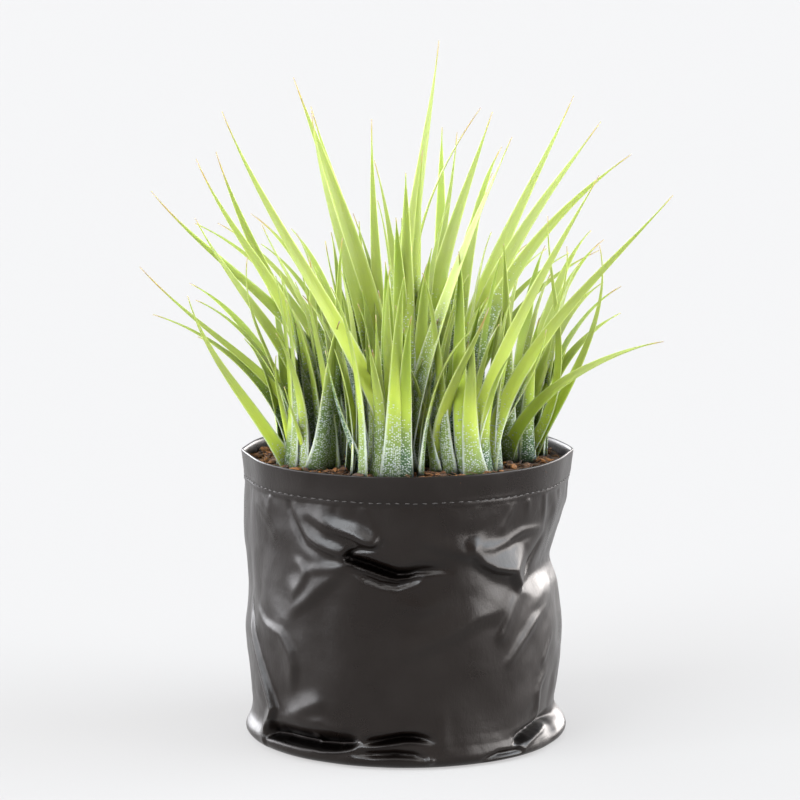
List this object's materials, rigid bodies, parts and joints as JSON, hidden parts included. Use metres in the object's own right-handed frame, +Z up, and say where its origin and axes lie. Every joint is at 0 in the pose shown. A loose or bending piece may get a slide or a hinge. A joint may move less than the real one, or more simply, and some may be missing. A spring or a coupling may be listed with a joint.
{
  "type": "potted sky plant",
  "caption": "Clump of narrow, arching air-plant leaves growing from soil in a soft, creased black nursery grow bag with a stitched hem.",
  "frame": {"origin": "middle of the bag's flat foot, on the surface it stands on", "axes": "+Z up, -Y towards the front of the bag as pictured, +X to the right"},
  "size_m": [0.1926, 0.1375, 0.256],
  "materials": {
    "bag_film": "semi-gloss black polythene film with creases",
    "soil": "rough crumbly coir and bark mix",
    "leaf": "satin green leaf with pale scales near the base"
  },
  "bodies": {
    "root": {"grow_bag": "bag_film", "soil": "soil", "rosette_left": "leaf", "rosette_front": "leaf", "rosette_front_right": "leaf", "rosette_right": "leaf", "rosette_middle": "leaf", "rosette_rear_left": "leaf", "rosette_rear_right": "leaf"}
  },
  "joints": []
}
